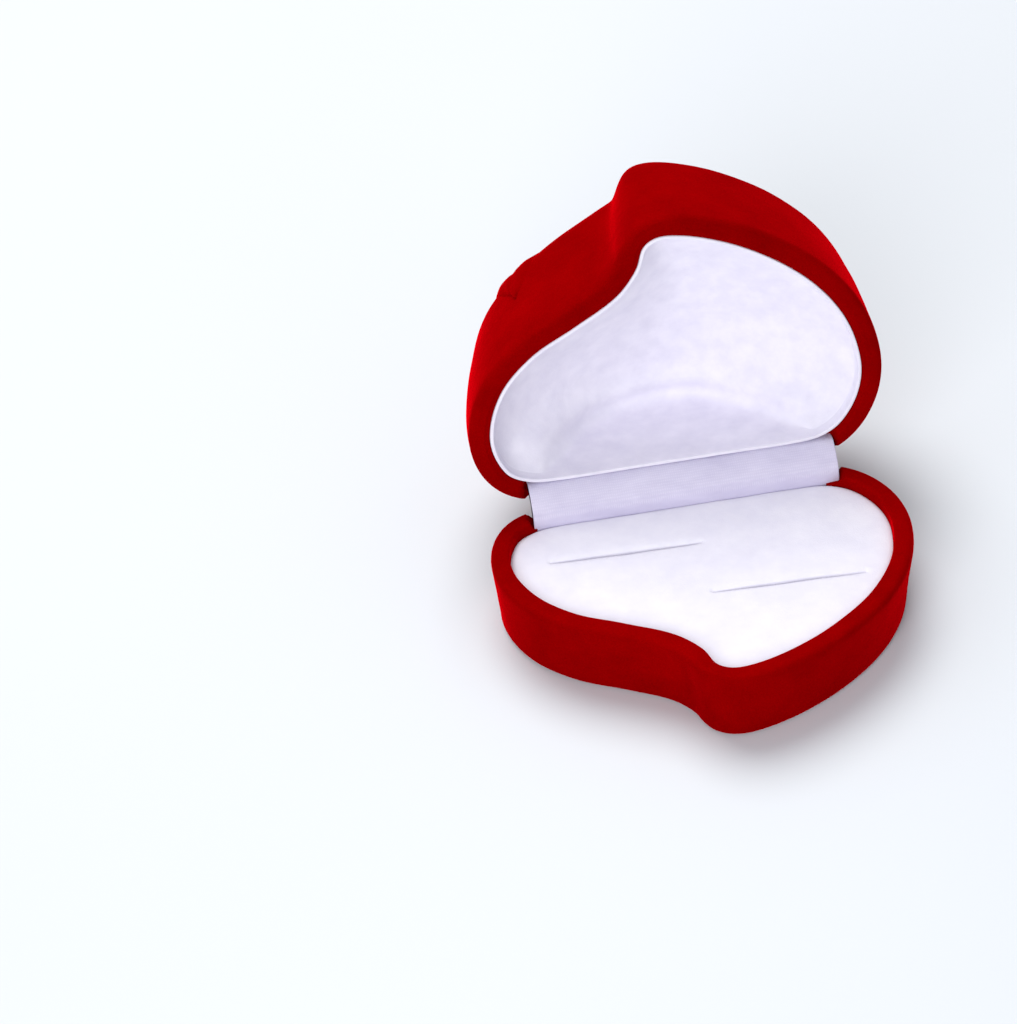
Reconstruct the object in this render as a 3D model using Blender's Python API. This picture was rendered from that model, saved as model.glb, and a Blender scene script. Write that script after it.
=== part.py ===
"""Heart-shaped ring box: flocked base and domed lid with a rose, white liner and slotted ring pad,
joined by a rolled-knuckle steel hinge with a torsion spring. The lid stands open.

Lengths below are millimetres and are scaled to metres when a mesh is made. The origin is the
centre of the base's underside, +Z up, with the hinge along X at the back (+Y).
"""

import math

import bmesh
import bpy
import numpy as np
from mathutils import Matrix, Vector
from mathutils.bvhtree import BVHTree

MM = 0.001

# Driving dimensions, mm and degrees
OPEN_ANGLE = 100.0
BASE_HEIGHT = 12.9
LID_HEIGHT = 24.4
RIM_WIDTH = 3.2
RIM_ROUND = 1.6
GAP = 0.3
OUTLINE_STEPS = 72

# Inner edge of the rim seen from above: straight hinge side, right lobe, curled tail, left lobe
RIM_POINTS = (
    (-19.5, 20.2), (-7.0, 20.2), (7.0, 20.2), (18.5, 20.2),
    (23.0, 19.6), (26.4, 17.4), (29.2, 12.6), (29.9, 7.0), (27.8, -0.8), (23.0, -7.8), (16.0, -13.6), (8.0, -17.8),
    (0.2, -19.8), (-3.2, -18.6), (-4.8, -14.7), (-8.2, -10.6),
    (-15.0, -6.5), (-22.0, -2.6), (-27.5, 3.2), (-29.9, 11.0), (-28.0, 17.4), (-24.3, 19.7),
)  # fmt: skip
HEART_CENTRE = (0.0, 5.0)

# Ring pad and the card below it
FLOOR = 1.8
PAD_RECESS = 1.9
PAD_INSET = 0.3
CARD_THICKNESS = 0.8
SLITS = (((-11.6, 11.2), -2.0), ((11.6, -1.2), -2.0))
SLIT_SIZE = (24.0, 1.0, 7.0)
PAD_EDGE_Y = RIM_POINTS[0][1] - PAD_INSET

# Liner
LINER_INSET = 0.3
LINER_THICKNESS = 0.7
LINER_RECESS = 0.5
LIP_HEIGHT = 0.4
VAULT_START = 1.2
VAULT_DEPTH = 16.5
VAULT_REACH = 24.5
VAULT_SKEW = 0.1
VAULT_POWER = 1.6
VAULT_FILLET = 1.4
VAULT_STEPS = (0.12, 0.3, 0.6, 1.1, 1.9)
VAULT_SHRINKS = (0.93, 0.84, 0.73, 0.60, 0.45, 0.28, 0.10)
BACK_STEEPNESS = 15.0
BACK_HALF_WIDTH = 22.0

# How far the lid's left end leans inward at the top, and its flank behind the tail outward
LEFT_LEAN = 5.0
BACK_LEAN_SHARE = 0.25
FLANK_LEAN = 2.4
LEAN_POWER = 1.6

# Hinge: its axis runs along X just behind the back walls, between the two rims
HINGE_Y = 23.4
HINGE_Z = BASE_HEIGHT + GAP / 2
BARREL_RADIUS = 1.6
BARREL_STEPS = 14
LEAF_THICKNESS = 0.6
LEAF_HALF_WIDTH = 22.0
LEAF_DEPTH = 8.0
LEAF_Y = 20.75
POCKET_Y = 21.65
POCKET_DEPTH = 9.9
NOTCH_HALF_WIDTH = 25.1
NOTCH_DEPTH = 2.0
PIN_RADIUS = 0.65
SPRING_RADIUS = 1.2
SPRING_WIRE = 0.22
SPRING_TURNS = 9
LID_KNUCKLES = ((-22.0, -13.5), (13.5, 22.0))
BASE_KNUCKLES = ((-13.2, -5.6), (5.6, 13.2))
RIVET_X = 16.5
RIVET_DROP = 5.6

# Rose on the lid
ROSE_CENTRE = (-16.0, 10.8)
ROSE_RADIUS = 9.4
ROSE_RISE = 4.4
ROSE_TURNS = 3.0
REST_GAP = 0.35
LEAF_THICK = 1.4
LEAF_STATIONS = 8
LEAF_COLUMNS = 4

RED = (0.50, 0.003, 0.010)
WHITE = (0.86, 0.84, 0.92)
LAVENDER = (0.66, 0.63, 0.82)
CARD = (0.70, 0.66, 0.58)
STEEL = (0.55, 0.55, 0.57)


def clear_scene():
    for obj in list(bpy.data.objects):
        bpy.data.objects.remove(obj, do_unlink=True)


def material(name, colour, roughness, metallic=0.0):
    made = bpy.data.materials.new(name)
    made.use_nodes = True
    shader = made.node_tree.nodes["Principled BSDF"]
    shader.inputs["Base Color"].default_value = (*colour, 1.0)
    shader.inputs["Roughness"].default_value = roughness
    shader.inputs["Metallic"].default_value = metallic
    return made


def rim_curve(steps):
    """Points and outward normals, evenly spaced along a closed smooth curve through RIM_POINTS."""
    knots = np.array(RIM_POINTS)
    fine = []
    for i in range(len(knots)):
        before, start, end, after = (knots[(i + k) % len(knots)] for k in (-1, 0, 1, 2))
        reach = np.linalg.norm(end - start)
        lead = (end - before) / np.linalg.norm(end - before) * reach
        trail = (after - start) / np.linalg.norm(after - start) * reach
        for t in np.linspace(0, 1, 24, endpoint=False):
            fine.append(
                (2 * t**3 - 3 * t**2 + 1) * start + (t**3 - 2 * t**2 + t) * lead
                + (3 * t**2 - 2 * t**3) * end + (t**3 - t**2) * trail
            )  # fmt: skip
    fine = np.array(fine + fine[:1])
    along = np.r_[0, np.cumsum(np.linalg.norm(np.diff(fine, axis=0), axis=1))]
    at = np.linspace(0, along[-1], steps, endpoint=False)
    points = np.stack([np.interp(at, along, fine[:, k]) for k in (0, 1)], axis=1)
    tangent = np.roll(points, -1, axis=0) - np.roll(points, 1, axis=0)
    tangent /= np.linalg.norm(tangent, axis=1)[:, None]
    return points, np.stack([-tangent[:, 1], tangent[:, 0]], axis=1)


RIM, RIM_NORMAL = rim_curve(OUTLINE_STEPS)


def ring(offset, z, shrink=1.0):
    """One level of a heart-shaped loft: the rim curve moved out by offset, then drawn to the centre."""
    flat = RIM + RIM_NORMAL * offset
    flat = np.array(HEART_CENTRE) + (flat - np.array(HEART_CENTRE)) * shrink
    return [Vector((x, y, z)) for x, y in flat]


def ramp(value, low, high):
    """0 below low, 1 above high, and smooth between."""
    t = np.clip((value - low) / (high - low), 0, 1)
    return t * t * (3 - 2 * t)


def lean_of_outline():
    """How far each rim point's wall stands aside of it at the top of the lid, as (x, y)."""
    facing_left = np.clip((-RIM_NORMAL[:, 0] - 0.3) / 0.7, 0, 1)
    toward_back = 1 + BACK_LEAN_SHARE * np.clip(RIM[:, 1] / 15, 0, 1)
    flank = ramp(-RIM[:, 0], 3, 7) * (1 - ramp(-RIM[:, 0], 13, 22)) * (RIM[:, 1] < 2)
    return np.stack([LEFT_LEAN * facing_left * toward_back, -FLANK_LEAN * flank], axis=1)


LEAN = lean_of_outline()


def leaning(level, shrink):
    """The level's points, each moved aside as far as the lid leans at its height."""
    moved = []
    for p, (x, y) in zip(level, LEAN):
        share = max(0.0, (p.z - BASE_HEIGHT - GAP) / LID_HEIGHT) ** LEAN_POWER * shrink
        moved.append(p + Vector((x * share, y * share, 0)))
    return moved


def lid_ring(offset, z, shrink=1.0):
    return leaning(ring(offset, z, shrink), shrink)


def arc(centre, radius, start, end, steps):
    """Points (u, v) on a circle, from one angle to another in degrees."""
    angles = np.radians(np.linspace(start, end, steps + 1))
    return [(centre[0] + radius * math.cos(a), centre[1] + radius * math.sin(a)) for a in angles]


def loft_mesh(rings):
    """A closed body through equal rings, with a fan at each end."""
    mesh = bmesh.new()
    levels = [[mesh.verts.new(p) for p in level] for level in rings]
    count = len(levels[0])
    for low, high in zip(levels, levels[1:]):
        for i in range(count):
            j = (i + 1) % count
            mesh.faces.new((low[i], low[j], high[j], high[i]))
    for level in (levels[0], levels[-1]):
        middle = mesh.verts.new(sum((v.co for v in level), Vector()) / count)
        for i in range(count):
            mesh.faces.new((level[i], level[(i + 1) % count], middle))
    return mesh


def prism_mesh(profile, low, high):
    """A (y, z) outline drawn out along X."""
    mesh = bmesh.new()
    ends = [[mesh.verts.new((x, y, z)) for y, z in profile] for x in (low, high)]
    for i in range(len(profile)):
        j = (i + 1) % len(profile)
        mesh.faces.new((ends[0][i], ends[0][j], ends[1][j], ends[1][i]))
    for end in ends:
        mesh.faces.new(end)
    return mesh


def box_mesh(low, high):
    mesh = bmesh.new()
    bmesh.ops.create_cube(mesh, size=1.0)
    size = Vector(high) - Vector(low)
    bmesh.ops.scale(mesh, vec=size, verts=mesh.verts)
    bmesh.ops.translate(mesh, vec=(Vector(high) + Vector(low)) / 2, verts=mesh.verts)
    return mesh


def turned_mesh(profile, origin, axis, steps=12):
    """A solid turned from (radius, along) points about an axis through origin."""
    turn = Vector((0, 0, 1)).rotation_difference(Vector(axis)).to_matrix()
    rings = []
    for radius, along in profile:
        level = []
        for k in range(steps):
            angle = 2 * math.pi * k / steps
            spot = Vector((radius * math.cos(angle), radius * math.sin(angle), along))
            level.append(Vector(origin) + turn @ spot)
        rings.append(level)
    return loft_mesh(rings)


def finish_mesh(mesh, name, finish=None, moving=None):
    """Turns a bmesh in closed-box millimetres into an object, on the hinge empty if it moves."""
    bmesh.ops.recalc_face_normals(mesh, faces=mesh.faces)
    if moving:
        bmesh.ops.translate(mesh, vec=(0, -HINGE_Y, -HINGE_Z), verts=mesh.verts)
    bmesh.ops.scale(mesh, vec=(MM, MM, MM), verts=mesh.verts)
    data = bpy.data.meshes.new(name)
    mesh.to_mesh(data)
    mesh.free()
    obj = bpy.data.objects.new(name, data)
    bpy.context.scene.collection.objects.link(obj)
    obj.parent = moving
    if finish:
        data.materials.append(finish)
    else:
        obj.hide_render = True
        obj.display_type = "WIRE"
    data.shade_smooth()
    data.set_sharp_from_angle(angle=math.radians(35))
    return obj


def boolean(obj, tool, operation):
    change = obj.modifiers.new(f"{operation.lower()}_{tool.name}", "BOOLEAN")
    change.operation = operation
    change.solver = "EXACT"
    change.object = tool


def mirror_up(mesh):
    """Turns a piece of the base's half of the hinge into the lid's."""
    bmesh.ops.scale(mesh, vec=(1, 1, -1), verts=mesh.verts)
    bmesh.ops.translate(mesh, vec=(0, 0, 2 * HINGE_Z), verts=mesh.verts)


def cut(obj, mesh, name, hinge=None):
    """Cuts a shape placed on the base's half of the hinge, or its mirror image in the lid."""
    if hinge:
        mirror_up(mesh)
    boolean(obj, finish_mesh(mesh, name, moving=hinge), "DIFFERENCE")


def hinge_empty():
    empty = bpy.data.objects.new("lid_hinge", None)
    empty.location = (0, HINGE_Y * MM, HINGE_Z * MM)
    empty.rotation_euler = (-math.radians(OPEN_ANGLE), 0, 0)
    bpy.context.scene.collection.objects.link(empty)
    return empty


def mirrored(z):
    """The height on the lid, closed, that mirrors a height on the base."""
    return 2 * HINGE_Z - z


def cut_hinge_seat(obj, part, hinge=None):
    """Rivet holes, the pocket for the leaf and strip, and the notch that clears the barrel."""
    for number, side in enumerate((-1, 1), start=1):
        origin = (side * RIVET_X, POCKET_Y - 1.3, rivet_height())
        hole = turned_mesh([(0.8, 0), (0.8, 2.0)], origin, (0, 1, 0))
        cut(obj, hole, f"{part}_rivet_hole_{number}", hinge)
    wide = NOTCH_HALF_WIDTH
    front = 19.0
    pocket = box_mesh((0.1 - wide, front, HINGE_Z - POCKET_DEPTH), (wide - 0.1, POCKET_Y, BASE_HEIGHT - 1))
    cut(obj, pocket, f"{part}_pocket_cutter", hinge)
    notch = box_mesh((-wide, front, BASE_HEIGHT - NOTCH_DEPTH), (wide, 26.0, BASE_HEIGHT + 2))
    cut(obj, notch, f"{part}_notch_cutter", hinge)


def base_shell(finish):
    top = BASE_HEIGHT
    levels = [ring(-2.0, 0.0, 0.5), ring(1.2, 0.0), ring(2.0, 0.35), ring(2.3, 1.2)]
    levels += [ring(2.6, 7.0), ring(RIM_WIDTH, top - 0.7), ring(RIM_WIDTH - 0.25, top - 0.2)]
    levels += [ring(RIM_WIDTH - 0.8, top), ring(0.6, top), ring(0.15, top - 0.15), ring(0, top - 0.6)]
    levels += [ring(0, FLOOR + 0.8), ring(-0.8, FLOOR), ring(-2.0, FLOOR, 0.5)]
    obj = finish_mesh(loft_mesh(levels), "base_shell", finish)
    cut_hinge_seat(obj, "base")
    return obj


def lid_outer_levels():
    """The lid's outside from its rim to its crown."""
    rim = BASE_HEIGHT + GAP
    top = rim + LID_HEIGHT
    wide = RIM_WIDTH + 0.6
    bend = 5.0
    levels = [lid_ring(RIM_WIDTH - 0.47, rim + 0.47), lid_ring(RIM_WIDTH, rim + RIM_ROUND)]
    levels += [lid_ring(RIM_WIDTH + 0.45, rim + 7.0), lid_ring(wide, rim + 13.0)]
    for u, v in arc((wide - bend, top - bend - 0.9), bend, 0, 78, 5):
        levels.append(lid_ring(u, v))
    levels += [lid_ring(-1.0, top - 0.55, 0.85), lid_ring(-1.0, top - 0.15, 0.5)]
    levels += [lid_ring(-1.0, top, 0.2)]
    return levels


def lid_shell(finish, hinge):
    rim = BASE_HEIGHT + GAP
    ceiling = rim + LID_HEIGHT - 1.9
    inside = [lid_ring(-1.4, ceiling, 0.5), lid_ring(-1.4, ceiling - 0.1, 0.92), lid_ring(-1.3, ceiling - 0.5)]
    inside += [lid_ring(-0.4, ceiling - 1.5), lid_ring(0.0, ceiling - 3.5), lid_ring(0.0, rim + 0.6)]
    inside += [lid_ring(0.15, rim + 0.15), lid_ring(0.6, rim), lid_ring(RIM_WIDTH - RIM_ROUND, rim)]
    obj = finish_mesh(loft_mesh(inside + lid_outer_levels()), "lid_shell", finish, hinge)
    cut_hinge_seat(obj, "lid", hinge)
    return obj


def from_sides(x, y):
    """Distance to the liner's lip apart from its back, evened out where two sides are as near."""
    lip = RIM - RIM_NORMAL * (LINER_INSET + LINER_THICKNESS)
    back = (RIM[:, 1] > RIM_POINTS[0][1] - 0.5) & (np.abs(RIM[:, 0]) < BACK_HALF_WIDTH)
    away = np.hypot(lip[~back, 0] - x, lip[~back, 1] - y) + 0.001
    spacing = np.linalg.norm(RIM[1] - RIM[0])
    return (0.75 * spacing * (away**-5.0).sum()) ** -0.25


def vault_height(x, y, outward):
    """How far the liner stands above its lip: an arched vault that the flat back wall cuts.
    outward moves its face out through the thickness of the sheet."""
    to_side = min(1.0, (from_sides(x, y) + outward) / (VAULT_REACH + VAULT_SKEW * x))
    vault = VAULT_START + VAULT_DEPTH * (1 - (1 - to_side) ** VAULT_POWER)
    lip_back = RIM_POINTS[0][1] - LINER_INSET - LINER_THICKNESS
    wall = max(0.0, lip_back + outward - y) * BACK_STEEPNESS
    return (vault + wall - math.hypot(vault - wall, VAULT_FILLET)) / 2 + outward


def vault_level(offset, shrink, low, outward):
    level = ring(offset, 0, shrink)
    for p in level:
        p.z = low + max(0.0, vault_height(p.x, p.y, outward))
    return leaning(level, shrink)


def lid_liner(finish, hinge):
    """A thin white vault with its mouth just inside the lid's rim."""
    low = BASE_HEIGHT + GAP + LINER_RECESS
    out = -LINER_INSET
    inner = out - LINER_THICKNESS
    levels = []
    for u, s in [(u, 1.0) for u in VAULT_STEPS] + [(VAULT_STEPS[-1], s) for s in VAULT_SHRINKS]:
        levels.append(vault_level(out - u, s, low + LIP_HEIGHT, LINER_THICKNESS))
    levels = levels[::-1] + [ring(out, low + LIP_HEIGHT), ring(out, low)]
    levels += [ring(inner, low), ring(inner, low + LIP_HEIGHT)]
    for u, s in [(u, 1.0) for u in VAULT_STEPS] + [(VAULT_STEPS[-1], s) for s in VAULT_SHRINKS]:
        levels.append(vault_level(inner - u, s, low + LIP_HEIGHT, 0.0))
    return finish_mesh(loft_mesh(levels), "lid_liner", finish, hinge)


def pad_card(finish):
    low = FLOOR + GAP
    levels = [ring(-1.2, low), ring(-1.2, low + CARD_THICKNESS)]
    return finish_mesh(loft_mesh(levels), "pad_card", finish)


def ring_pad(finish):
    """A foam block with softly rounded edges and two cuts that grip rings."""
    low = FLOOR + CARD_THICKNESS + 2 * GAP
    top = BASE_HEIGHT - PAD_RECESS
    levels = [ring(-PAD_INSET - 0.6, low), ring(-PAD_INSET, low + 1.0), ring(-PAD_INSET, top - 0.5)]
    levels += [ring(-PAD_INSET - 0.3, top - 0.1), ring(-PAD_INSET - 1.0, top)]
    obj = finish_mesh(loft_mesh(levels), "ring_pad", finish)
    long, wide, deep = SLIT_SIZE
    for number, ((x, y), turn) in enumerate(SLITS, start=1):
        tool = box_mesh((-long / 2, -wide / 2, -deep), (long / 2, wide / 2, 1.0))
        bmesh.ops.rotate(tool, matrix=Matrix.Rotation(math.radians(turn), 3, "Z"), verts=tool.verts)
        bmesh.ops.translate(tool, vec=(x, y, top), verts=tool.verts)
        boolean(obj, finish_mesh(tool, f"slit_cutter_{number}"), "DIFFERENCE")
    return obj


def rivet_height():
    return HINGE_Z - RIVET_DROP


def hook_profile():
    """A knuckle rolled from the leaf's edge: along the underside, round the pin and back inside."""
    centre = (HINGE_Y, HINGE_Z)
    outer = arc(centre, BARREL_RADIUS, -90, 215, BARREL_STEPS)
    inner = arc(centre, BARREL_RADIUS - LEAF_THICKNESS, 215, -90, BARREL_STEPS)
    root = LEAF_Y + 0.2
    bottom = HINGE_Z - BARREL_RADIUS
    return [(root, bottom)] + outer + inner + [(root, bottom + LEAF_THICKNESS)]


def plate_profile():
    """The leaf's L: a narrow shelf at the barrel's underside and the plate that lies in the pocket."""
    shelf = HINGE_Z - BARREL_RADIUS
    shelf_end = HINGE_Y - BARREL_RADIUS - GAP
    low = HINGE_Z - LEAF_DEPTH
    inside = LEAF_Y + LEAF_THICKNESS
    return [
        (LEAF_Y, low), (inside, low), (inside, shelf), (shelf_end, shelf),
        (shelf_end, shelf + LEAF_THICKNESS), (LEAF_Y, shelf + LEAF_THICKNESS),
    ]  # fmt: skip


def hinge_leaf(name, knuckles, finish, hinge=None):
    """One stamped leaf, modelled for the base and mirrored upward for the lid."""
    tools = [prism_mesh(hook_profile(), low, high) for low, high in knuckles]
    plate = prism_mesh(plate_profile(), -LEAF_HALF_WIDTH, LEAF_HALF_WIDTH)
    holes = []
    for side in (-1, 1):
        origin = (side * RIVET_X, LEAF_Y - 1, rivet_height())
        holes.append(turned_mesh([(0.8, 0), (0.8, 3.0)], origin, (0, 1, 0)))
    if hinge:
        for mesh in [plate, *tools, *holes]:
            mirror_up(mesh)
    obj = finish_mesh(plate, name, finish, hinge)
    for number, mesh in enumerate(tools, start=1):
        boolean(obj, finish_mesh(mesh, f"{name}_knuckle_{number}", moving=hinge), "UNION")
    for number, mesh in enumerate(holes, start=1):
        boolean(obj, finish_mesh(mesh, f"{name}_hole_{number}", moving=hinge), "DIFFERENCE")
    return obj


def rivets(finish, hinge):
    """Four rivets, two through each leaf, with their heads towards the pad or the liner."""
    profile = [(0.35, 0), (1.1, 0.1), (1.2, 0.35), (0.5, 0.36), (0.5, 1.9), (0.35, 2.0)]
    for part, z, moving in (("base", rivet_height(), None), ("lid", mirrored(rivet_height()), hinge)):
        for side, x in (("left", -RIVET_X), ("right", RIVET_X)):
            mesh = turned_mesh(profile, (x, LEAF_Y - 0.66, z), (0, 1, 0))
            finish_mesh(mesh, f"hinge_rivet_{part}_{side}", finish, moving)


def hinge_pin(finish):
    """A plain pin, peened to a wider head at both ends."""
    half = LEAF_HALF_WIDTH + GAP
    head = 1.15
    profile = [(head - 0.3, -half - 0.8), (head, -half - 0.6), (head, -half), (PIN_RADIUS, -half)]
    profile += [(radius, -along) for radius, along in reversed(profile)]
    mesh = turned_mesh(profile, (0, HINGE_Y, HINGE_Z), (1, 0, 0), 14)
    return finish_mesh(mesh, "hinge_pin", finish)


def hinge_spring(finish):
    """A torsion spring on the pin, one leg towards each leaf, as it lies with the lid open."""
    start = math.radians(240)
    end = math.radians(120 - OPEN_ANGLE) + 2 * math.pi * SPRING_TURNS
    half = BASE_KNUCKLES[1][0] - GAP - 2 * SPRING_WIRE
    steps = round((end - start) / (2 * math.pi) * 12)
    path = []
    for k in range(steps + 1):
        angle = start + (end - start) * k / steps
        y = HINGE_Y + SPRING_RADIUS * math.cos(angle)
        z = HINGE_Z + SPRING_RADIUS * math.sin(angle)
        path.append(Vector((-half + 2 * half * k / steps, y, z)))
    leg = 1.3
    first = path[0] - leg * Vector((0, -math.sin(start), math.cos(start)))
    last = path[-1] + leg * Vector((0, -math.sin(end), math.cos(end)))
    curve = bpy.data.curves.new("hinge_spring", "CURVE")
    curve.dimensions = "3D"
    curve.bevel_depth = SPRING_WIRE * MM
    curve.bevel_resolution = 1
    curve.use_fill_caps = True
    spline = curve.splines.new("POLY")
    points = [first, *path, last]
    spline.points.add(len(points) - 1)
    for spot, p in zip(spline.points, points):
        spot.co = (p.x * MM, p.y * MM, p.z * MM, 1.0)
    curve.materials.append(finish)
    obj = bpy.data.objects.new("hinge_spring", curve)
    bpy.context.scene.collection.objects.link(obj)
    return obj


def turned_open(y, z):
    """Where a point of the closed lid goes when the lid is open."""
    angle = -math.radians(OPEN_ANGLE)
    y, z = y - HINGE_Y, z - HINGE_Z
    return (
        HINGE_Y + y * math.cos(angle) - z * math.sin(angle),
        HINGE_Z + y * math.sin(angle) + z * math.cos(angle),
    )


def hinge_cover(finish):
    """The cloth strip from behind the pad, over the barrel, to behind the liner's lip."""
    front = (LEAF_Y + PAD_EDGE_Y) / 2
    lead = BASE_HEIGHT - 0.8
    below = [(front, BASE_HEIGHT - 4.0), (front, lead)]
    above = [turned_open(front, mirrored(lead)), turned_open(front, mirrored(BASE_HEIGHT - 4.0))]
    middle = (HINGE_Y, HINGE_Z)
    over = arc(middle, BARREL_RADIUS + 0.55, 152, 108, 4)
    path = np.array(below + over + above)
    tangent = np.gradient(path, axis=0)
    tangent /= np.linalg.norm(tangent, axis=1)[:, None]
    side = np.stack([-tangent[:, 1], tangent[:, 0]], axis=1) * 0.14
    profile = [tuple(p) for p in path + side] + [tuple(p) for p in (path - side)[::-1]]
    return finish_mesh(prism_mesh(profile, -24.6, 24.7), "hinge_cover", finish)


def lid_surface():
    """The lid's outside, closed, as a tree that a ray can be dropped on."""
    mesh = loft_mesh([lid_ring(RIM_WIDTH - RIM_ROUND, BASE_HEIGHT + GAP)] + lid_outer_levels())
    bmesh.ops.recalc_face_normals(mesh, faces=mesh.faces)
    tree = BVHTree.FromBMesh(mesh)
    mesh.free()
    return tree


def above_lid(tree, x, y, clearance, rise=0.0):
    """The point over (x, y) that stands off the lid's surface along its normal, then straight up."""
    spot, normal, _, _ = tree.ray_cast(Vector((x, y, 100.0)), Vector((0, 0, -1)))
    return spot + normal * clearance + Vector((0, 0, rise))


def rose_bloom(finish, hinge, tree):
    """A low spiral of petals with a scalloped edge."""
    around, rows = 40, 9
    under, petals = [], []
    for row in range(rows):
        share = 1 - row / rows
        low, high = [], []
        for k in range(around):
            angle = 2 * math.pi * k / around
            radius = ROSE_RADIUS * share * (1 + 0.05 * math.cos(5 * angle) * share)
            x = ROSE_CENTRE[0] + radius * math.cos(angle)
            y = ROSE_CENTRE[1] + radius * math.sin(angle)
            curl = math.sin(2 * math.pi * share * ROSE_TURNS - angle)
            rise = ROSE_RISE * (1 - share**2.4) + 0.45 * curl * (1 - share * 0.6)
            low.append(above_lid(tree, x, y, REST_GAP))
            high.append(above_lid(tree, x, y, REST_GAP + 0.8, rise))
        under.append(low)
        petals.append(high)
    return finish_mesh(loft_mesh(under[::-1] + petals), "rose_bloom", finish, hinge)


def rose_leaf(name, root, tip, half_width, focus, finish, hinge, tree):
    """A pointed leaf draped over the lid along lines toward focus, thickest along its midrib."""
    root, tip, focus = Vector(root), Vector(tip), Vector(focus)
    side = (tip - root).cross((root + tip) / 2 - focus).normalized()
    centre = Vector(ROSE_CENTRE)
    clear = ROSE_RADIUS * 1.05 + GAP
    loops = []
    for i in range(LEAF_STATIONS + 1):
        t = i / LEAF_STATIONS
        width = half_width * max(0.05, math.sin(math.pi * (0.3 + 0.6 * t)) * (1 - t**3))
        under, over = [], []
        for j in range(-LEAF_COLUMNS, LEAF_COLUMNS + 1):
            share = j / LEAF_COLUMNS
            spot = root.lerp(tip, t) + side * (width * share)
            ray = (focus - spot).normalized()
            hit, normal, _, _ = tree.ray_cast(spot - ray * 40, ray)
            away = hit.xy - centre
            if away.length < clear:
                flat = centre + away * (clear / away.length)
                hit, normal, _, _ = tree.ray_cast(Vector((flat.x, flat.y, 100.0)), Vector((0, 0, -1)))
            under.append(hit + normal * REST_GAP)
            over.append(hit + normal * (REST_GAP + LEAF_THICK * (1 - 0.5 * share**2)))
        loops.append(under + over[::-1])
    return finish_mesh(loft_mesh(loops), name, finish, hinge)


def build():
    clear_scene()
    flock = material("red_flock", RED, 0.95)
    white = material("white_liner", WHITE, 0.7)
    foam = material("white_foam", WHITE, 0.95)
    cloth = material("hinge_cloth", LAVENDER, 0.9)
    board = material("card", CARD, 0.9)
    steel = material("steel", STEEL, 0.35, 1.0)
    hinge = hinge_empty()
    base_shell(flock)
    lid_shell(flock, hinge)
    lid_liner(white, hinge)
    pad_card(board)
    ring_pad(foam)
    hinge_leaf("hinge_base_leaf", BASE_KNUCKLES, steel)
    hinge_leaf("hinge_lid_leaf", LID_KNUCKLES, steel, hinge)
    rivets(steel, hinge)
    hinge_pin(steel)
    hinge_spring(steel)
    hinge_cover(cloth)
    tree = lid_surface()
    rose_bloom(flock, hinge, tree)
    right_leaf = ((-6.5, 8.6, 37.6), (3.0, 6.2, 37.6), 5.4, (-2.0, 8.0, -300.0))
    left_leaf = ((-17.6, 1.0, 37.0), (-22.6, -7.2, 26.0), 4.2, (-14.0, 4.5, 22.0))
    rose_leaf("rose_leaf_right", *right_leaf, flock, hinge, tree)
    rose_leaf("rose_leaf_left", *left_leaf, flock, hinge, tree)


build()
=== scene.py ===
"""Looks of a heart-shaped flocked ring box: velvet base and lid with a moulded rose, satin liner,
slotted foam cushion, cloth strip over the hinge and plated steel hinge parts.

Shapes are worked out in millimetres. The lid's pieces are shaped closed and then turned open."""

import math

import bmesh
import bpy
import numpy as np
from mathutils import Matrix, Vector, noise
from mathutils.bvhtree import BVHTree
from mathutils.geometry import delaunay_2d_cdt


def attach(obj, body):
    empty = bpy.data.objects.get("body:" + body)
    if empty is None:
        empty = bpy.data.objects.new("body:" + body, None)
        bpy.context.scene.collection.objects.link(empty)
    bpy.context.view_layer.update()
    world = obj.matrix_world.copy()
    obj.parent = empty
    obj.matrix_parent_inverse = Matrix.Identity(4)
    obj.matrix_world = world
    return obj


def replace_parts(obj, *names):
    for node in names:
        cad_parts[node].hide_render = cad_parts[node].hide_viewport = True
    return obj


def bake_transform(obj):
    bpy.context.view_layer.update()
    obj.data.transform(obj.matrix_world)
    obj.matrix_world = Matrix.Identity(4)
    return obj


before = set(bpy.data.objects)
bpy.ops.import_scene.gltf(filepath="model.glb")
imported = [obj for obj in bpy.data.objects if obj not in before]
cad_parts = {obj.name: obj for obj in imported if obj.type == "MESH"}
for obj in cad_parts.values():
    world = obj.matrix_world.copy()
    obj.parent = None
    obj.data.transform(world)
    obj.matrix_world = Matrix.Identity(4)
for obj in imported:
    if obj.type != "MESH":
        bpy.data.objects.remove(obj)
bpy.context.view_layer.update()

MM = 0.001

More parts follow.
